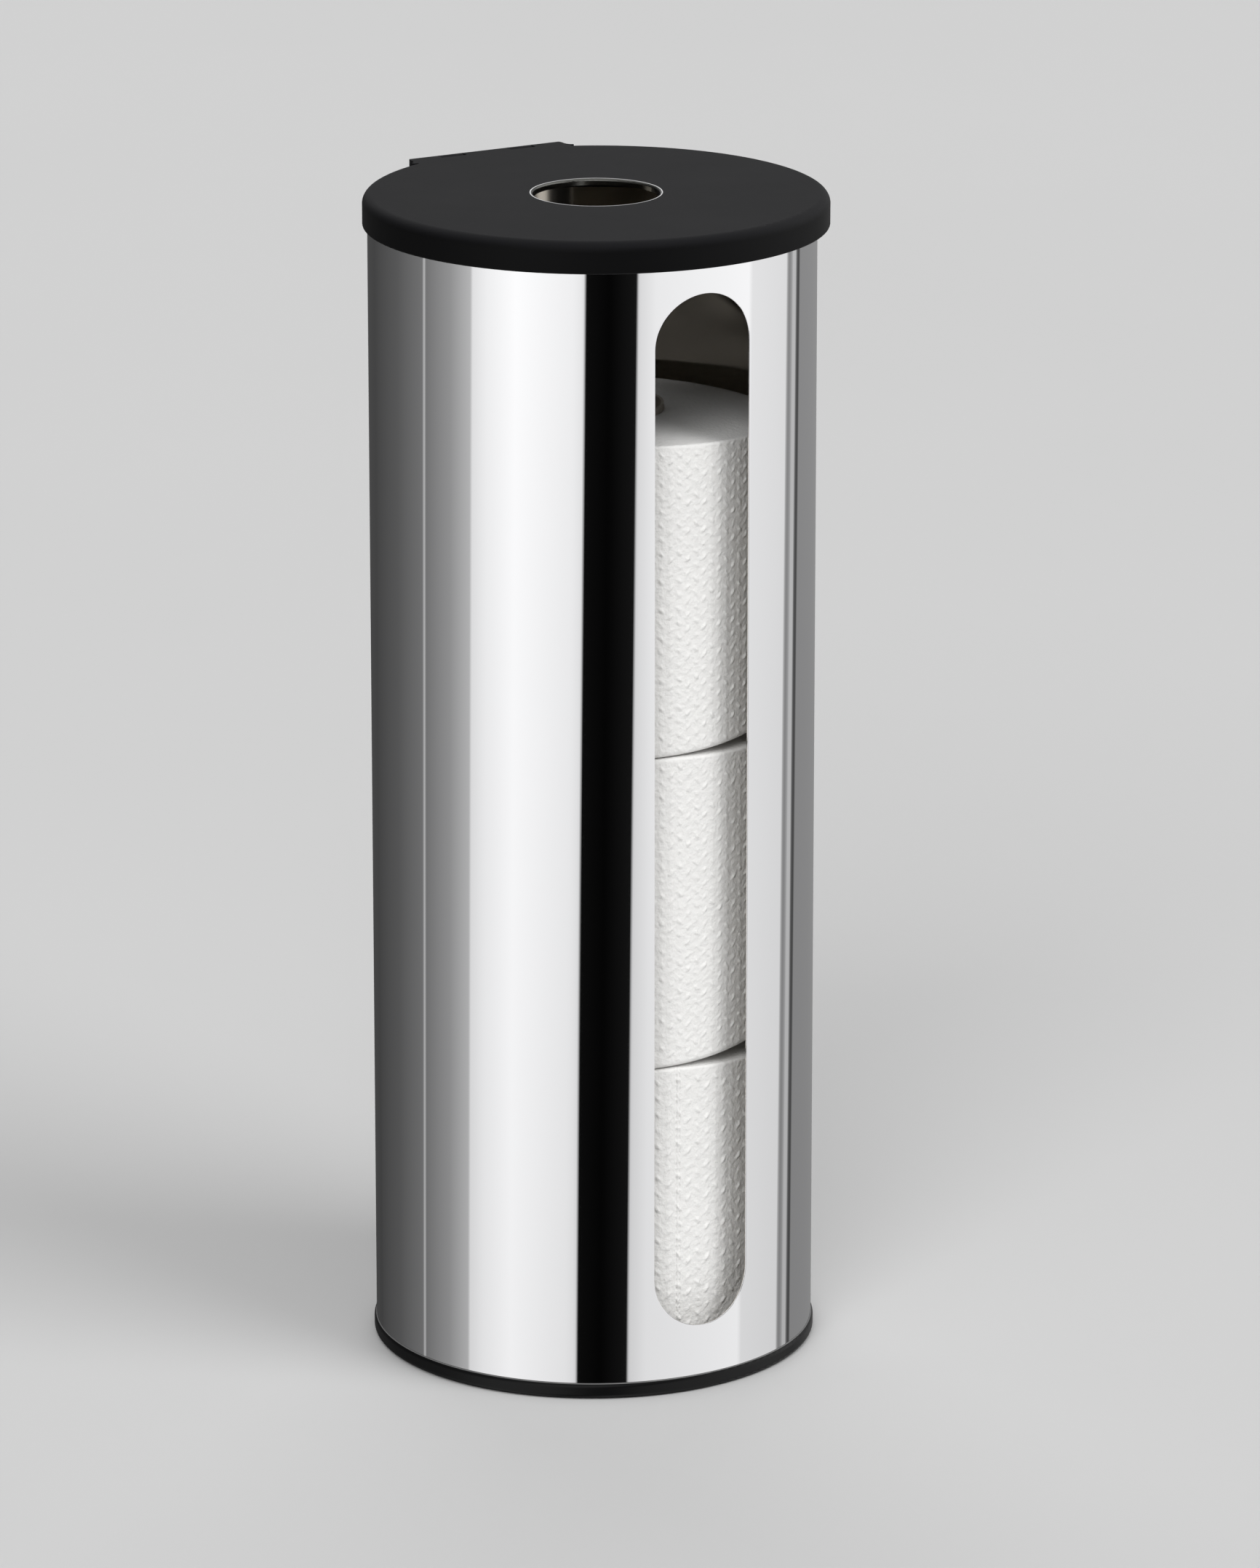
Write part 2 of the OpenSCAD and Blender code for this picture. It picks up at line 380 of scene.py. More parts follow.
class RollTubeLooks(bpy.types.PropertyGroup):
    """All sizes and colours that a user would change."""

    steel: PointerProperty(type=SteelLooks)
    plastic: PointerProperty(type=PlasticLooks)
    paper: PointerProperty(type=PaperLooks)
    stage: PointerProperty(type=StageLooks)


# Materials

# Places of the colour sockets among the sockets of a Mix node
FIRST_COLOUR, SECOND_COLOUR, MIXED_COLOUR = 6, 7, 2

# Depths below the lid's top between which the sides' darker painted shade turns into the top's
# colour
LID_SHADE_DEPTHS = (3 * MM, 0.6 * MM)
# How much smoother the wall of the lid's hole is than the lid
HOLE_POLISH = 0.3
# Darker and lighter tone of the painted highlight round the hole's edge, of the hole's wall, and of
# the painted highlight along the base cap's upper edge
HOLE_HIGHLIGHT_TONES = ((0.55, 0.55, 0.56, 1.0), (0.8, 0.8, 0.8, 1.0))
HOLE_WALL_TONES = ((0.10, 0.10, 0.10, 1.0), (0.22, 0.22, 0.2, 1.0))
BASE_HIGHLIGHT_TONES = ((0.12, 0.12, 0.12, 1.0), (0.2, 0.2, 0.2, 1.0))
# Colour of the rolls' cores
BOARD_COLOUR = (0.60, 0.56, 0.50)


def grey(shade):
    """A neutral colour of a display shade from 0 to 1."""
    value = shade / 12.92 if shade <= 0.04045 else ((shade + 0.055) / 1.055) ** 2.4
    return (value, value, value, 1.0)


def shades(colour, darker, lighter):
    """Two tones of one colour."""
    return (
        tuple(channel * darker for channel in colour) + (1.0,),
        tuple(min(1.0, channel * lighter) for channel in colour) + (1.0,),
    )


class Shader:
    """A small helper that adds and links the nodes of one material or world."""

    def __init__(self, tree):
        self.tree = tree
        tree.nodes.clear()

    def feed(self, socket, value):
        """Links an input to another node's output, or sets it to a number or a colour."""
        if isinstance(value, bpy.types.NodeSocket):
            self.tree.links.new(value, socket)
        else:
            socket.default_value = value

    def add(self, kind, inputs=None, **settings):
        """A new node with its settings and its inputs, which are named or numbered."""
        node = self.tree.nodes.new(kind)
        for name, value in settings.items():
            setattr(node, name, value)
        for key, value in (inputs or {}).items():
            self.feed(node.inputs[key], value)
        return node

    def maths(self, operation, first, second):
        """The result of an operation on two values."""
        return self.add("ShaderNodeMath", {0: first, 1: second}, operation=operation).outputs[0]

    def parts(self, vector):
        """The X, Y and Z of a vector."""
        return self.add("ShaderNodeSeparateXYZ", {0: vector}).outputs

    def mapped(self, value, source, target, shape="LINEAR"):
        """One range mapped onto another and held at its ends."""
        inputs = {
            "Value": value,
            "From Min": source[0],
            "From Max": source[1],
            "To Min": target[0],
            "To Max": target[1],
        }
        return self.add("ShaderNodeMapRange", inputs, interpolation_type=shape).outputs["Result"]

    def mix(self, value, first, second):
        """A colour between two colours, by a value from 0 to 1."""
        inputs = {"Factor": value, FIRST_COLOUR: first, SECOND_COLOUR: second}
        return self.add("ShaderNodeMix", inputs, data_type="RGBA").outputs[MIXED_COLOUR]


class Finish(Shader):
    """A material whose patterns lie on the object's own place."""

    def __init__(self, name):
        self.material = bpy.data.materials.new(name)
        self.material.use_nodes = True
        super().__init__(self.material.node_tree)
        self.surface = self.add("ShaderNodeBsdfPrincipled")
        self.add("ShaderNodeOutputMaterial", {"Surface": self.surface.outputs["BSDF"]})
        self.place = self.add("ShaderNodeTexCoord").outputs["Object"]

    def give(self, inputs):
        """Sets or links inputs of the surface, and returns the material."""
        for name, value in inputs.items():
            self.feed(self.surface.inputs[name], value)
        return self.material

    def noise(self, scale, detail=3.0, roughness=0.5):
        """Noise of one scale, or of one scale along each axis."""
        vector = self.place
        if isinstance(scale, tuple):
            stretched = self.add("ShaderNodeMapping", {"Vector": vector, "Scale": scale})
            vector, scale = stretched.outputs["Vector"], 1.0
        inputs = {"Vector": vector, "Scale": scale, "Detail": detail, "Roughness": roughness}
        return self.add("ShaderNodeTexNoise", inputs).outputs["Fac"]

    def span(self, value, low, high):
        """Maps 0 to 1 onto low to high."""
        return self.mapped(value, (0.0, 1.0), (low, high))

    def bump(self, height, distance, strength, over=None):
        """A bumped normal, on top of another one if that is given."""
        inputs = {"Height": height, "Distance": distance, "Strength": strength}
        if over is not None:
            inputs["Normal"] = over
        return self.add("ShaderNodeBump", inputs).outputs["Normal"]

    def within(self, axis_y, radius):
        """1 nearer than the radius to the upright axis at x = 0 and that y, and 0 beyond it."""
        apart = self.parts(self.place)
        across, along = apart["X"], self.maths("SUBTRACT", apart["Y"], axis_y)
        squares = self.maths(
            "ADD", self.maths("MULTIPLY", across, across), self.maths("MULTIPLY", along, along)
        )
        return self.maths("LESS_THAN", squares, radius * radius)


def polished_steel(looks):
    """Mirror polish with the faint waviness of rolled sheet, and a duller mill finish inside, whose
    darker warm tone is partly painted shade and painted reflection of the paper.
    """
    steel = Finish("polished_steel")
    wave = steel.noise((9.0, 9.0, 3.5), detail=1.0, roughness=0.4)
    streak = steel.noise((40.0, 40.0, 900.0), detail=2.0, roughness=0.6)
    smear = steel.noise((30.0, 30.0, 12.0), detail=4.0, roughness=0.6)
    inside = steel.within(AXIS_Y, TUBE_RADIUS - looks.wall / 2)
    outer = steel.mix(smear, *shades(looks.colour, 0.985, 1.01))
    # Painted shade and painted warm reflection, as well as the duller mill finish, in the inner
    # face's colour.
    inner = steel.mix(smear, *shades(looks.inner_colour_and_shade, 0.93, 1.07))
    polish = steel.span(smear, looks.roughness * 0.75, looks.roughness * 1.3)
    haze = steel.maths("MULTIPLY", inside, looks.inner_haze)
    waved = steel.bump(wave, distance=0.9 * MM, strength=0.16)
    return steel.give(
        {
            "Base Color": steel.mix(inside, outer, inner),
            "Metallic": 1.0,
            "Roughness": steel.maths("ADD", polish, haze),
            "Normal": steel.bump(streak, distance=0.002 * MM, strength=0.1, over=waved),
        }
    )


def plain_steel(looks):
    """Bright zinc-plated steel of the pin and the screws."""
    steel = Finish("plain_steel")
    cloud = steel.noise(900.0, detail=4.0, roughness=0.6)
    return steel.give(
        {
            "Base Color": steel.mix(cloud, *shades(looks.colour, 0.68, 0.8)),
            "Metallic": 1.0,
            "Roughness": steel.span(cloud, 0.22, 0.38),
            "Normal": steel.bump(cloud, distance=0.02 * MM, strength=0.3),
        }
    )


class BlackPlastic(Finish):
    """Matte black moulding with a fine spark-eroded grain."""

    def __init__(self, name, looks, roughness):
        super().__init__(name)
        grain = self.noise(1.0 / looks.grain, roughness=0.6)
        self.patch = self.noise(24.0, detail=4.0, roughness=0.55)
        self.colour = self.toned(*shades(looks.colour, 0.88, 1.14))
        self.rough = self.span(self.patch, roughness - 0.05, roughness + 0.06)
        self.give(
            {
                "Base Color": self.colour,
                "Roughness": self.rough,
                "Specular IOR Level": 0.1,
                "Sheen Weight": 0.015,
                "Sheen Roughness": 0.45,
                "Normal": self.bump(grain, distance=0.03 * MM, strength=0.5),
            }
        )

    def toned(self, darker, lighter):
        """A colour that changes between two tones from patch to patch."""
        return self.mix(self.patch, darker, lighter)


def lid_plastic(looks):
    """The lid's moulding: a greyer top, darker sides of painted shade, and a painted highlight round
    the hole's edge.
    """
    lid = BlackPlastic("lid_plastic", looks, looks.roughness)
    shade_depths = [LID_HIGH.z - depth for depth in LID_SHADE_DEPTHS]
    # Painted shade: below the shoulder the lid's sides take the darker colour.
    top = lid.mapped(lid.parts(lid.place)["Z"], shade_depths, (0.0, 1.0), "SMOOTHSTEP")
    wall = lid.within(LID_AXIS_Y, looks.hole_edge)
    # Painted highlight: a thin light ring just outside the hole's wall.
    within_highlight = lid.within(LID_AXIS_Y, looks.hole_edge + looks.highlight_line)
    edge = lid.maths("SUBTRACT", within_highlight, wall)
    colour = lid.mix(top, lid.toned(*shades(looks.painted_shade_colour, 0.9, 1.1)), lid.colour)
    colour = lid.mix(edge, colour, lid.toned(*HOLE_HIGHLIGHT_TONES))
    colour = lid.mix(wall, colour, lid.toned(*HOLE_WALL_TONES))
    polish = lid.maths("MULTIPLY", wall, HOLE_POLISH)
    rough = lid.maths("SUBTRACT", lid.rough, polish)
    return lid.give({"Base Color": colour, "Metallic": wall, "Roughness": rough})


def base_plastic(looks):
    """The base cap's smoother moulding in the darker painted-shade colour, with a thin painted
    highlight along the rim's upper edge.
    """
    base = BlackPlastic("base_plastic", looks, looks.base_roughness)
    height = base.parts(base.place)["Z"]
    # Painted highlight: a thin light line along the rim's upper edge, on the darker painted-shade
    # colour.
    edge = base.maths("GREATER_THAN", height, TUBE_LOW.z - looks.highlight_line)
    side = base.toned(*shades(looks.painted_shade_colour, 0.9, 1.1))
    colour = base.mix(edge, side, base.toned(*BASE_HIGHLIGHT_TONES))
    return base.give({"Base Color": colour, "Specular IOR Level": 0.2})


def tissue(looks):
    """Soft tissue: fibres, crepe lines and a faint change of tone."""
    paper = Finish("tissue_paper")
    fibre = paper.noise(2600.0, detail=4.0, roughness=0.7)
    crepe = paper.noise((500.0, 500.0, 2600.0), roughness=0.6)
    mottle = paper.noise(750.0, detail=2.0)
    cloud = paper.noise(60.0)
    bumped = paper.bump(fibre, distance=0.05 * MM, strength=0.5)
    bumped = paper.bump(crepe, distance=0.06 * MM, strength=0.4, over=bumped)
    return paper.give(
        {
            "Base Color": paper.mix(cloud, *shades(looks.colour, 0.955, 1.02)),
            "Roughness": 0.95,
            "Specular IOR Level": 0.12,
            "Sheen Weight": 0.12,
            "Sheen Roughness": 0.6,
            "Normal": paper.bump(mottle, distance=0.55 * MM, strength=0.7, over=bumped),
        }
    )


def cardboard():
    """Grey-brown board with fibres that run along the core."""
    board = Finish("cardboard")
    fibre = board.noise((700.0, 700.0, 250.0), detail=4.0, roughness=0.65)
    return board.give(
        {
            "Base Color": board.mix(fibre, *shades(BOARD_COLOUR, 0.85, 1.1)),
            "Roughness": 0.88,
            "Specular IOR Level": 0.2,
            "Normal": board.bump(fibre, distance=0.08 * MM, strength=0.5),
        }
    )


def floor_paint(looks):
    """Matte paint with a faint change of tone."""
    paint = Finish("plain_floor")
    cloud = paint.noise(3.0)
    colour = paint.mix(cloud, *shades(looks.floor_colour, 0.985, 1.015))
    return paint.give({"Base Color": colour, "Roughness": 0.9, "Specular IOR Level": 0.1})


def coat(name, material):
    """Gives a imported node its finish."""
    node = frame["nodes"][name]
    node.data.materials.clear()
    node.data.materials.append(material)


def add_object(name, data):
    """A new object in the scene."""
    obj = bpy.data.objects.new(name, data)
    bpy.context.scene.collection.objects.link(obj)
    return obj


def smooth(mesh):
    """Shades all faces smooth."""
    for face in mesh.polygons:
        face.use_smooth = True


# The steel tube

# Shares of a quarter turn at which the slot's rounded edges have points
EDGE_TURNS = (0.25, 0.5, 0.75, 1.0)
DRILL_SIDES = 48
DRILL_LENGTH = 10 * MM


def turned(radius, angle, height):
    """A point on a circle round the tube's axis; angle 0 faces the front."""
    return (radius * math.sin(angle), AXIS_Y - radius * math.cos(angle), height)


class TubeSkin:
    """One face of the tube, inner or outer, with the slot left open."""

    END_STEPS = 40
    PLAIN_STEPS = 300

    def __init__(self, radius, half_slot, foot, head):
        self.radius, self.half_slot = radius, half_slot
        self.foot, self.head = foot, head
        side = math.asin(half_slot / radius)
        slot_angles = [
            math.asin(-half_slot * math.cos(math.pi * i / self.END_STEPS) / radius)
            for i in range(self.END_STEPS + 1)
        ]
        plain_turn = 2 * math.pi - 2 * side
        plain_angles = [
            side + plain_turn * i / self.PLAIN_STEPS for i in range(1, self.PLAIN_STEPS)
        ]
        self.angles = slot_angles + plain_angles

    def slot_ends(self, index):
        """Heights at which the slot starts and stops on that column."""
        along = -self.half_slot * math.cos(math.pi * index / self.END_STEPS)
        rise = math.sqrt(max(self.half_slot**2 - along**2, 0.0))
        return (self.foot + self.half_slot - rise, self.head - self.half_slot + rise)

    def add_slot(self, mesh):
        """Adds the points of the slot's edge, those of its lower end and of its upper end."""
        self.slot_low, self.slot_high = [], []
        for i in range(self.END_STEPS + 1):
            start, stop = self.slot_ends(i)
            self.slot_low.append(mesh.verts.new(turned(self.radius, self.angles[i], start)))
            self.slot_high.append(mesh.verts.new(turned(self.radius, self.angles[i], stop)))

    def slot_ring(self):
        """The slot's edge points in order: the lower end, then the upper end back."""
        return self.slot_low + self.slot_high[::-1]

    def build(self, mesh, low, high):
        """Adds the skin's points and faces, and keeps the points that its edges need."""
        self.lower = [mesh.verts.new(turned(self.radius, a, low)) for a in self.angles]
        self.upper = [mesh.verts.new(turned(self.radius, a, high)) for a in self.angles]
        self.add_slot(mesh)
        count = len(self.angles)
        for i in range(count):
            j = (i + 1) % count
            if i < self.END_STEPS:
                mesh.faces.new((self.lower[i], self.lower[j], self.slot_low[j], self.slot_low[i]))
                mesh.faces.new((self.slot_high[i], self.slot_high[j], self.upper[j], self.upper[i]))
                continue
            face = [self.lower[i], self.lower[j]]
            if j == 0:
                face += [self.slot_low[0], self.slot_high[0]]
            face += [self.upper[j], self.upper[i]]
            if i == self.END_STEPS:
                face += [self.slot_high[i], self.slot_low[i]]
            mesh.faces.new(face)


def bridge(mesh, first, second):
    """Joins two closed rings of as many points with faces."""
    count = len(first)
    for i in range(count):
        j = (i + 1) % count
        mesh.faces.new((first[i], first[j], second[j], second[i]))


def drill(tube, height, radius):
    """Cuts one round hole through the tube's rear."""
    bpy.ops.mesh.primitive_cylinder_add(
        vertices=DRILL_SIDES,
        radius=radius,
        depth=DRILL_LENGTH,
        location=(0, AXIS_Y + TUBE_RADIUS, height),
        rotation=(math.pi / 2, 0, 0),
    )
    cutter = bpy.context.object
    cut = tube.modifiers.new("hole", "BOOLEAN")
    cut.operation, cut.solver, cut.object = "DIFFERENCE", "EXACT", cutter
    bpy.context.view_layer.objects.active = tube
    bpy.ops.object.modifier_apply(modifier=cut.name)
    bpy.data.objects.remove(cutter)


def round_normals(mesh, inner_radius):
    """Sets true cylinder normals on both skins, so that the mirror finish has no facets."""
    normals = [None] * len(mesh.loops)
    tolerance = 0.02 * MM
    for face in mesh.polygons:
        points = [mesh.vertices[index].co for index in face.vertices]
        reach = [math.hypot(point.x, point.y - AXIS_Y) for point in points]
        outer = min(reach) > TUBE_RADIUS - tolerance
        inner = max(reach) < inner_radius + tolerance
        upright = abs(face.normal.z) < 0.5
        for loop, point in zip(face.loop_indices, points):
            if upright and (outer or inner):
                way = Vector((point.x, point.y - AXIS_Y, 0)).normalized()
                normals[loop] = way if outer else -way
            else:
                normals[loop] = face.normal
    mesh.normals_split_custom_set(normals)


def steel_tube(looks):
    """The tube with its slot, whose edges are rounded as polishing leaves them."""
    low, high = TUBE_LOW.z, TUBE_HIGH.z
    foot, head = low + looks.slot_foot, high - looks.slot_head
    half, edge = looks.slot_width / 2, looks.edge
    inner_radius = TUBE_RADIUS - looks.wall
    mesh = bmesh.new()
    outer, inner = (
        TubeSkin(radius, half + edge, foot - edge, head + edge)
        for radius in (TUBE_RADIUS, inner_radius)
    )
    outer.build(mesh, low, high)
    inner.build(mesh, low, high)
    rings = [outer.slot_ring()]
    for radius, way, turns in (
        (TUBE_RADIUS, -1, EDGE_TURNS),
        (inner_radius, 1, EDGE_TURNS[::-1]),
    ):
        for turn in turns:
            sink = edge * (1 - math.cos(turn * math.pi / 2))
            grow = edge * (1 - math.sin(turn * math.pi / 2))
            outline = TubeSkin(radius + way * sink, half + grow, foot - grow, head + grow)
            outline.add_slot(mesh)
            rings.append(outline.slot_ring())
    rings.append(inner.slot_ring())
    for first, second in zip(rings, rings[1:]):
        bridge(mesh, first, second)
    bridge(mesh, outer.lower, inner.lower)
    bridge(mesh, outer.upper, inner.upper)
    bmesh.ops.recalc_face_normals(mesh, faces=mesh.faces)
    data = bpy.data.meshes.new("steel_tube")
    mesh.to_mesh(data)
    mesh.free()
    return add_object("steel_tube", data), inner_radius


class ROLLTUBE_OT_tube(bpy.types.Operator):
    """Builds the polished steel tube with its front slot and its fixing holes"""

    bl_idname = "rolltube.tube"
    bl_label = "Steel tube"

    WALL_HOLE = 2.5 * MM
    FIXING_HOLE = 2.1 * MM
    FIXING_OFFSET = 14 * MM
    # Height of the wall screw above the lower edge of a bracket or spacer
    SCREW_RISE = 23 * MM

    def execute(self, context):
        looks = context.scene.roll_tube.steel
        tube, inner_radius = steel_tube(looks)
        for node in ("wall_bracket", "wall_spacer"):
            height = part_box(node)[0].z + self.SCREW_RISE
            drill(tube, height, self.WALL_HOLE)
            for side in (-1, 1):
                drill(tube, height + side * self.FIXING_OFFSET, self.FIXING_HOLE)
        smooth(tube.data)
        round_normals(tube.data, inner_radius)
        tube.data.materials.clear()
        tube.data.materials.append(polished_steel(looks))
        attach(tube, "holder")
        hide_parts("tube")
        return {"FINISHED"}


# The paper windings

# Room between the winding and its packed radius that the emboss and the swell fill
RELIEF_ROOM = 0.65 * MM
CORE_GAP = 0.1 * MM
# Height of a winding's foot above the roll below it, so that resting rolls share no plane
FOOT_GAP = 0.06 * MM
UPPER_ROUNDING = 0.8 * MM
ROW_HEIGHT = 0.36 * MM
# Steps of a winding's outline: its foot, its lower edge, its upper edge and its top
FOOT_STEPS, LOWER_EDGE_STEPS, UPPER_EDGE_STEPS, TOP_STEPS = 7, 8, 6, 52

# Columns of points: steps at the front and elsewhere, half the front's turn, and those at a seam
FINE_STEP, COARSE_STEP, FRONT_TURN = math.radians(0.34), math.radians(2.2), math.radians(46)
SEAM_CLEARANCE = math.radians(0.33)
SEAM_STEPS = [math.radians(step) for step in (-0.26, -0.13, -0.03, 0.03, 0.13, 0.26)]

# Lean of a dash, and the mean share of its height and how far single dashes differ from that
DASH_TILT, DASH_MEAN, DASH_SPREAD = math.radians(42), 0.72, 0.28
# Distance from a roll's ends over which the emboss fades in
EMBOSS_FADE = 3.2 * MM
# Half the width of the perforation's cuts, their depth and their pitch
CUT_WIDTH, CUT_DEPTH, CUT_PITCH = 0.26 * MM, 0.34 * MM, 2.2 * MM
# Share of the cuts' depth at the ties between them, and the level of a wave that parts the two
TIE_DEPTH, TIE_LEVEL = 0.1, -0.35
# Height of the step at the loose end
PLY = 0.22 * MM
# Height of the swell on the side, and its turn in radians for each metre of height
SWELL, SWELL_TURN = 0.16 * MM, 52
# Height of the layers on the top face, and their turn in radians from the core to the outside
LAYERS, LAYERS_TURN = 0.10 * MM, 160
# Depth to which the top face sinks between its edges, and the rounded way down into the core
DISH = 0.35 * MM
FUNNEL_WIDTH, FUNNEL_DEPTH = 3.4 * MM, 2.4 * MM
# Bearing at which a roll's foot arches up, and the spread of that, in radians
ARCH_BEARING, ARCH_SPREAD = 0.79, 0.6


class EmbossSizes:
    """The emboss sizes of one roll."""

    def __init__(self, paper, radius, scale):
        columns = 2 * round(paper.columns / scale / 2)
        self.dash_pitch = 2 * math.pi * radius / columns
        self.row_pitch = paper.row_pitch * scale
        self.dash_length = paper.dash_length * scale
        self.dash_width = paper.dash_width * scale
        self.relief = paper.relief


def emboss(along, up, sizes, strength):
    """Height of the embossed herringbone at places along and up a roll's side."""
    column = np.round(along / sizes.dash_pitch)
    slant = np.where(column % 2 == 0, 1.0, -1.0)
    shift = np.where(column % 2 == 0, 0.0, sizes.row_pitch / 2)
    across = along - column * sizes.dash_pitch
    row = np.round((up - shift) / sizes.row_pitch)
    rise = up - shift - row * sizes.row_pitch
    lengthwise = across * slant * math.sin(DASH_TILT) + rise * math.cos(DASH_TILT)
    sideways = across * slant * math.cos(DASH_TILT) - rise * math.sin(DASH_TILT)
    half_length = sizes.dash_length / 2 + sizes.dash_width
    reach = np.hypot(lengthwise / half_length, sideways / sizes.dash_width)
    dash = np.clip(1 - reach, 0.0, 1.0)
    dash = dash * dash * (3 - 2 * dash)
    uneven = DASH_MEAN + DASH_SPREAD * np.sin(column * 12.9898 + row * 78.233)
    return sizes.relief * strength * uneven * dash


def perforation(along, up, seam, radius):
    """Depth of one line of short cuts up the roll's side."""
    across = np.abs(along - seam * radius) / CUT_WIDTH
    cut = np.clip(1 - across, 0, 1) * CUT_DEPTH
    wave = np.sin(up / CUT_PITCH * 2 * math.pi)
    return cut * np.where(wave > TIE_LEVEL, 1.0, TIE_DEPTH)


def side_relief(turn, up, height, radius, paper, seed, loose_end, seams, scale, strength):
    """How far the side stands out: its emboss, cuts, last ply and swell, less its slack."""
    along = turn * radius
    fade = np.clip(up / EMBOSS_FADE, 0, 1) * np.clip((height - up) / EMBOSS_FADE, 0, 1)
    relief = emboss(along, up, EmbossSizes(paper, radius, scale), strength) * fade
    for seam in seams:
        relief -= perforation(along, up, seam, radius)
    spiral = PLY * (((turn - loose_end) / (2 * math.pi)) % 1.0 - 1.0)
    swell = SWELL * np.sin(3 * turn + seed) * np.sin(up * SWELL_TURN + seed)
    rear = paper.slack * (1 - np.cos(turn)) / 2
    return relief + spiral + (swell - rear)


def top_relief(turn, inset, from_core, seed):
    """Height of the top face against its plane, at most 0: layers, a dish and the core's funnel."""
    layers = np.sin(inset * LAYERS_TURN + 3 * np.sin(turn * 2 + seed)) * LAYERS
    dish = -DISH * np.sin(inset * math.pi) * (0.6 + 0.4 * np.sin(turn * 3 + seed))
    funnel = np.clip(1 - from_core / FUNNEL_WIDTH, 0, 1) ** 1.5 * -FUNNEL_DEPTH
    return np.minimum(layers + dish, 0.0) + funnel


def drop(turn, distance, radius, sunk, slope, back):
    """How far a roll's top lies below its box: all over, more to the right and more to the rear."""
    to_right = slope * distance * np.sin(turn)
    to_rear = back * (radius - distance * np.cos(turn))
    return np.maximum(sunk + to_right + to_rear, 0.0)


def arch(turn):
    """1 at the bearing where a roll's foot arches up, and less away from it."""
    apart = (turn + math.pi) % (2 * math.pi) - math.pi - ARCH_BEARING
    return np.exp(-((apart / ARCH_SPREAD) ** 2))


def roll_angles(seams):
    """Angles of a roll's columns: close together at the front, where the slot shows them."""
    angles = list(np.arange(-FRONT_TURN, FRONT_TURN, FINE_STEP))
    rear_end = 2 * math.pi - FRONT_TURN - COARSE_STEP / 2
    angles += list(np.arange(FRONT_TURN, rear_end, COARSE_STEP))
    for seam in seams:
        angles = [angle for angle in angles if abs(angle - seam) > SEAM_CLEARANCE]
    return np.array(sorted(angles + [seam + step for seam in seams for step in SEAM_STEPS]))


def roll_profile(low, high, radius, bore, rounding):
    """Points from the bore's foot round the outside to the bore's top.

    Each has its radius, its height, and whether it lies on the outside or on an end face.
    """
    points = []
    for i in range(FOOT_STEPS):
        points.append((bore + (radius - rounding - bore) * i / FOOT_STEPS, low, False))
    for i in range(LOWER_EDGE_STEPS + 1):
        turn = math.pi / 2 * i / LOWER_EDGE_STEPS
        reach = radius - rounding + rounding * math.sin(turn)
        points.append((reach, low + rounding * (1 - math.cos(turn)), True))
    side = high - UPPER_ROUNDING - low - rounding
    rows = round(side / ROW_HEIGHT)
    for i in range(1, rows):
        points.append((radius, low + rounding + side * i / rows, True))
    for i in range(UPPER_EDGE_STEPS + 1):
        turn = math.pi / 2 * i / UPPER_EDGE_STEPS
        reach = radius - UPPER_ROUNDING * (1 - math.cos(turn))
        points.append((reach, high - UPPER_ROUNDING * (1 - math.sin(turn)), True))
    face = radius - UPPER_ROUNDING - bore
    for i in range(1, TOP_STEPS + 1):
        points.append((bore + face * (TOP_STEPS - i) / TOP_STEPS, high, False))
    return points


def tissue_roll(level, paper, seed, side, shrink, arched, leans):
    """One winding of embossed tissue, with its loose end lying against the roll."""
    low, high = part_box("roll_paper_" + level)
    core_low, core_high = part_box("roll_core_" + level)
    radius = (high.x - low.x) / 2 - RELIEF_ROOM - shrink
    bore = (core_high.x - core_low.x) / 2 + CORE_GAP
    profile = roll_profile(low.z + FOOT_GAP, high.z, radius, bore, paper.rounding)
    reach, height, outside = (np.array(row) for row in zip(*profile))
    angles = roll_angles((side["loose_end"], *side["seams"]))
    turn, distance = np.meshgrid(angles, reach, indexing="ij")
    up = np.broadcast_to(height, turn.shape)
    relief = side_relief(turn, up - low.z, high.z - low.z, radius, paper, seed, **side)
    distance = distance + relief * outside
    inset = np.clip((distance - bore) / (radius - bore), 0, 1)
    at_top = ~outside & (up > (low.z + high.z) / 2)
    up = up + np.where(at_top, top_relief(turn, inset, distance - bore, seed), 0.0)
    share = np.clip((up - low.z) / (high.z - low.z), 0, 1)
    up = up - drop(turn, distance, radius, **leans) * inset**0.5 * share**2
    up = up + arched * arch(turn) * (inset * (1 - share) ** 3)
    points = np.stack(
        [distance * np.sin(turn), AXIS_Y - distance * np.cos(turn), up], axis=-1
    )
    return grid_object("tissue_roll_" + level, points)


def grid_object(name, points):
    """A closed surface from a grid of points that joins up both ways."""
    columns, rows = points.shape[:2]
    index = np.arange(columns * rows).reshape(columns, rows)
    beside = np.roll(index, -1, axis=0)
    faces = np.stack(
        [index, beside, np.roll(beside, -1, axis=1), np.roll(index, -1, axis=1)], axis=-1
    ).reshape(-1, 4)
    mesh = bpy.data.meshes.new(name)
    mesh.from_pydata(points.reshape(-1, 3).tolist(), [], faces.tolist())
    mesh.update()
    smooth(mesh)
    return add_object(name, mesh)


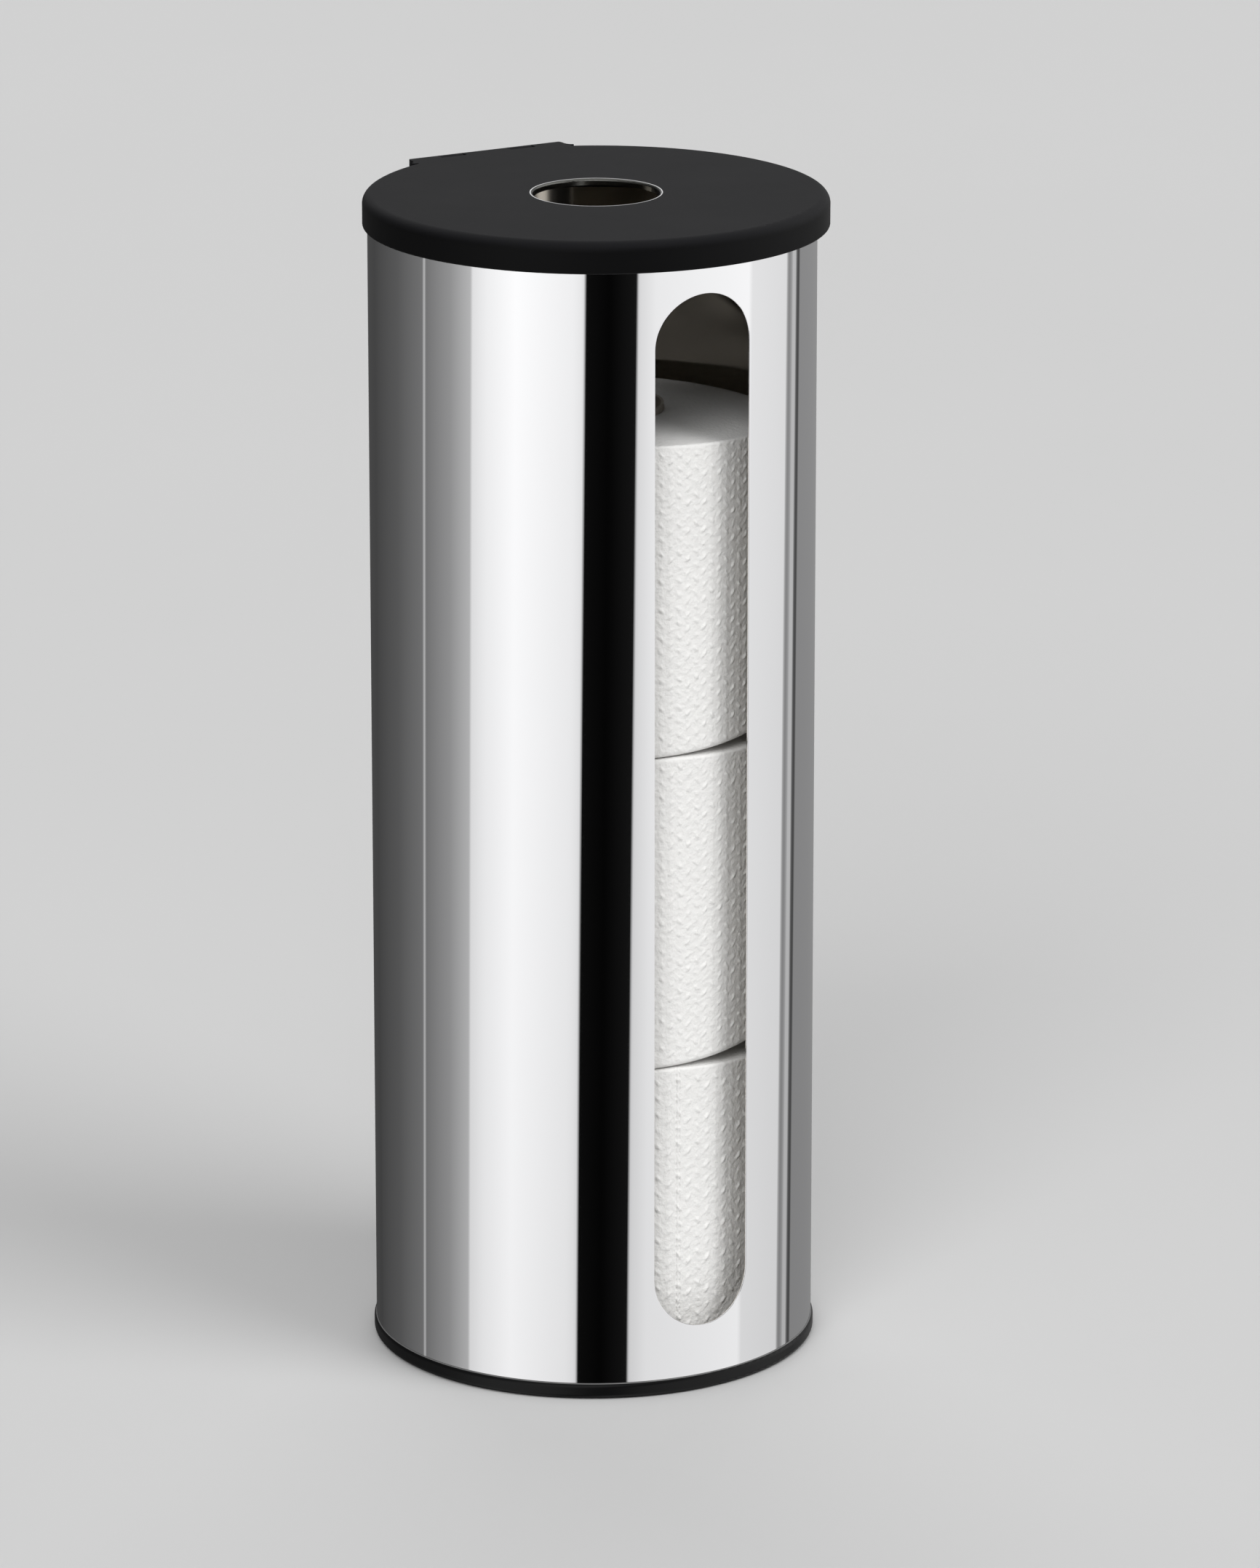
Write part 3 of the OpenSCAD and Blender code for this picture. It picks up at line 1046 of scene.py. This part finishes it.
class ROLLTUBE_OT_rolls(bpy.types.Operator):
    """Builds the three embossed rolls and finishes their cores"""

    bl_idname = "rolltube.rolls"
    bl_label = "Toilet rolls"

    ROLLS = {
        "bottom": dict(
            seed=0.7,
            side=dict(
                loose_end=math.radians(-30),
                seams=(math.radians(-4.0), math.radians(-2.9)),
                scale=1.15,
                strength=1.1,
            ),
            shrink=0.0,
            arched=0.0,
            leans=dict(sunk=0.3 * MM, slope=0.08, back=0.0),
        ),
        "middle": dict(
            seed=2.9,
            side=dict(loose_end=math.radians(170), seams=(), scale=1.0, strength=0.95),
            shrink=0.4 * MM,
            arched=3.6 * MM,
            leans=dict(sunk=0.2 * MM, slope=0.06, back=0.0),
        ),
        "top": dict(
            seed=5.1,
            side=dict(loose_end=math.radians(200), seams=(), scale=1.0, strength=1.1),
            shrink=1.0 * MM,
            arched=2.8 * MM,
            leans=dict(sunk=1.6 * MM, slope=0.055, back=0.02),
        ),
    }

    def execute(self, context):
        paper = context.scene.roll_tube.paper
        finish, board = tissue(paper), cardboard()
        for level, shape in self.ROLLS.items():
            roll = tissue_roll(level, paper, **shape)
            roll.data.materials.append(finish)
            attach(roll, "roll_" + level)
            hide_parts("roll_paper_" + level)
            coat("roll_core_" + level, board)
        return {"FINISHED"}


class ROLLTUBE_OT_mouldings(bpy.types.Operator):
    """Finishes the lid, the base cap, the wall bracket and the spacer"""

    bl_idname = "rolltube.mouldings"
    bl_label = "Black mouldings"

    def execute(self, context):
        looks = context.scene.roll_tube.plastic
        coat("lid", lid_plastic(looks))
        coat("base_cap", base_plastic(looks))
        plain_finish = BlackPlastic("bracket_plastic", looks, looks.roughness).material
        for name in ("wall_bracket", "wall_spacer"):
            coat(name, plain_finish)
        return {"FINISHED"}


class ROLLTUBE_OT_fasteners(bpy.types.Operator):
    """Finishes the hinge pin and the fixing screws"""

    bl_idname = "rolltube.fasteners"
    bl_label = "Pin and screws"

    def execute(self, context):
        finish = plain_steel(context.scene.roll_tube.steel)
        for name in ("hinge_pin", "fixing_screws"):
            coat(name, finish)
        return {"FINISHED"}


# The stage

# Distance of the lamps' objects, which shine like a sun and so keep their strength at any distance
LAMP_DISTANCE = 3.0

# Bearings from the front, in degrees, and display shades of the studio that the steel mirrors
STUDIO = (
    (-180.0, 0.26),
    (-150.0, 0.34),
    (-130.0, 0.43),
    (-127.3, 0.45),
    (-126.8, 0.72),
    (-126.1, 0.72),
    (-125.5, 0.45),
    (-108.0, 0.57),
    (-95.3, 0.71),
    (-94.2, 0.88),
    (-86.0, 0.94),
    (-70.0, 1.0),
    (-40.0, 0.94),
    (-35.2, 0.90),
    (-34.2, 0.05),
    (-22.0, 0.02),
    (-8.0, 0.08),
    (-7.0, 0.85),
    (2.0, 0.92),
    (57.0, 0.97),
    (58.5, 0.89),
    (87.5, 0.86),
    (89.0, 0.50),
    (92.4, 0.56),
    (94.0, 0.72),
    (97.6, 0.72),
    (98.6, 0.28),
    (101.2, 0.28),
    (102.4, 0.53),
    (146.0, 0.54),
    (160.0, 0.27),
    (180.0, 0.26),
)
# The bearings hold for rays of one rise, and lean by so many degrees for each unit of rise more
LEAN = 44.0
LISTED_RISE = -0.25
PANEL_STRENGTH = 1.165
# Rises of a ray between which the panels give way to an even ceiling
CEILING_RISES = (0.45, 0.8)
CEILING_SHADE = 0.8
# Rises of a ray between which the panels grow from dimmer to full strength
LOW_RISES, LOW_STRENGTHS = (-0.36, -0.2), (0.84, 1.0)
BACKGROUND_SHADE = 0.9


def heading(turn, rise):
    """The way to a bearing from the front and an angle above the level, both in radians."""
    return Vector(
        (math.sin(turn) * math.cos(rise), -math.cos(turn) * math.cos(rise), math.sin(rise))
    )


def aim(obj, place, target):
    """Puts a lamp or camera at a place and points it at the target."""
    obj.location = place
    obj.rotation_euler = (Vector(target) - Vector(place)).to_track_quat("-Z", "Y").to_euler()


def wide_lamp(name, bearing, rise, spread, strength):
    """A broad far lamp that shines from a bearing and a height, in degrees, onto the tube."""
    lamp = bpy.data.lights.new(name, "SUN")
    lamp.energy, lamp.angle = strength, math.radians(spread)
    obj = add_object(name, lamp)
    aim(obj, heading(math.radians(bearing), math.radians(rise)) * LAMP_DISTANCE, (0, 0, 0))
    obj.visible_glossy = False


def studio_world(looks):
    """Even light, a pale background, and the panels and dark gaps that polished steel mirrors."""
    world = bpy.data.worlds.new("studio")
    bpy.context.scene.world = world
    world.use_nodes = True
    shader = Shader(world.node_tree)
    way = shader.parts(shader.add("ShaderNodeTexCoord").outputs["Generated"])
    front = shader.maths("MULTIPLY", way["Y"], -1.0)
    bearing = shader.maths("ARCTAN2", way["X"], front)
    leaning = shader.maths("MULTIPLY", way["Z"], -LEAN / 360)
    leaning = shader.maths("ADD", leaning, 0.5 + LEAN * LISTED_RISE / 360)
    place = shader.maths("ADD", shader.maths("DIVIDE", bearing, 2 * math.pi), leaning)
    ramp = shader.add("ShaderNodeValToRGB", {"Fac": place})
    stops = ramp.color_ramp.elements
    for degrees, _ in STUDIO[1:-1]:
        stops.new(degrees / 360 + 0.5)
    for stop, (degrees, shade) in zip(stops, STUDIO):
        stop.position, stop.color = degrees / 360 + 0.5, grey(shade)
    ceiling = shader.mapped(way["Z"], CEILING_RISES, (0.0, 1.0), "SMOOTHSTEP")
    mirrored = shader.mix(ceiling, ramp.outputs["Color"], grey(CEILING_SHADE))
    low_down = shader.mapped(way["Z"], LOW_RISES, LOW_STRENGTHS)
    strength = shader.maths("MULTIPLY", low_down, PANEL_STRENGTH)

    def light(inputs):
        return shader.add("ShaderNodeBackground", inputs).outputs[0]

    def either(choice, first, second):
        return shader.add("ShaderNodeMixShader", {0: choice, 1: first, 2: second}).outputs[0]

    ray = shader.add("ShaderNodeLightPath").outputs
    even, pale = light({"Strength": looks.fill}), light({"Color": grey(BACKGROUND_SHADE)})
    panels = light({"Color": mirrored, "Strength": strength})
    seen = either(ray["Is Camera Ray"], even, pale)
    final = either(ray["Is Glossy Ray"], seen, panels)
    shader.add("ShaderNodeOutputWorld", {"Surface": final})


class ROLLTUBE_OT_stage(bpy.types.Operator):
    """Sets the floor, the soft lamps, the studio and the camera"""

    bl_idname = "rolltube.stage"
    bl_label = "Stage"

    FLOOR_SIDE = 14.0
    FLOOR_GAP = 0.2 * MM
    # Lamps, their bearings from the front, heights and spreads, in degrees
    LAMPS = (
        ("front_lamp", 29, 38, 36),
        ("side_lamp", -43, 37, 30),
        ("top_lamp", -25, 68, 40),
        ("rear_lamp", 155, 35, 50),
    )
    CAMERA_BEARING = math.radians(-29.59)
    CAMERA_RISE = math.radians(16.24)
    CAMERA_DISTANCE = 2.5346
    SENSOR_WIDTH = 36.0
    VIEW_END = 100.0
    # Height above the base of the axis point that the camera's place is measured from, and the
    # offset from it of the point that the camera aims at
    TARGET_HEIGHT = 177.8 * MM
    AIM_RIGHT = 11.3 * MM
    AIM_UP = -3.0 * MM

    def execute(self, context):
        looks = context.scene.roll_tube.stage
        self.floor(looks)
        studio_world(looks)
        for name, bearing, rise, spread in self.LAMPS:
            wide_lamp(name, bearing, rise, spread, getattr(looks, name))
        self.camera(looks)
        return {"FINISHED"}

    def floor(self, looks):
        bpy.ops.mesh.primitive_plane_add(
            size=self.FLOOR_SIDE, location=(0, AXIS_Y, BASE_LEVEL - self.FLOOR_GAP)
        )
        floor = bpy.context.object
        floor.name = "floor"
        floor.data.materials.append(floor_paint(looks))
        floor.visible_glossy = False

    def camera(self, looks):
        data = bpy.data.cameras.new("camera")
        data.lens, data.sensor_width, data.clip_end = looks.lens, self.SENSOR_WIDTH, self.VIEW_END
        camera = add_object("camera", data)
        turn = self.CAMERA_BEARING
        centre = Vector((0, AXIS_Y, BASE_LEVEL + self.TARGET_HEIGHT))
        right = Vector((math.cos(turn), math.sin(turn), 0))
        place = centre + heading(turn, self.CAMERA_RISE) * self.CAMERA_DISTANCE
        aim(camera, place, centre + right * self.AIM_RIGHT + Vector((0, 0, self.AIM_UP)))
        bpy.context.scene.camera = camera


class ROLLTUBE_PT_panel(bpy.types.Panel):
    """Lists the steps that build the looks"""

    bl_label = "Roll Tube"
    bl_space_type = "VIEW_3D"
    bl_region_type = "UI"
    bl_category = "Roll Tube"

    def draw(self, context):
        looks = context.scene.roll_tube
        for group in (looks.steel, looks.plastic, looks.paper, looks.stage):
            box = self.layout.box()
            for name in group.bl_rna.properties.keys():
                if name not in ("rna_type", "name"):
                    box.prop(group, name)
        for step in STEPS:
            self.layout.operator(step.bl_idname)


STEPS = (
    ROLLTUBE_OT_tube,
    ROLLTUBE_OT_rolls,
    ROLLTUBE_OT_mouldings,
    ROLLTUBE_OT_fasteners,
    ROLLTUBE_OT_stage,
)
LOOKS = (SteelLooks, PlasticLooks, PaperLooks, StageLooks, RollTubeLooks)
CLASSES = (*LOOKS, *STEPS, ROLLTUBE_PT_panel)


def register():
    for cls in CLASSES:
        bpy.utils.register_class(cls)
    bpy.types.Scene.roll_tube = PointerProperty(type=RollTubeLooks)


def unregister():
    del bpy.types.Scene.roll_tube
    for cls in reversed(CLASSES):
        bpy.utils.unregister_class(cls)


def main():
    register()
    bpy.context.scene.view_settings.view_transform = "Standard"
    bpy.ops.rolltube.tube()
    bpy.ops.rolltube.rolls()
    bpy.ops.rolltube.mouldings()
    bpy.ops.rolltube.fasteners()
    bpy.ops.rolltube.stage()


if __name__ == "__main__":
    main()
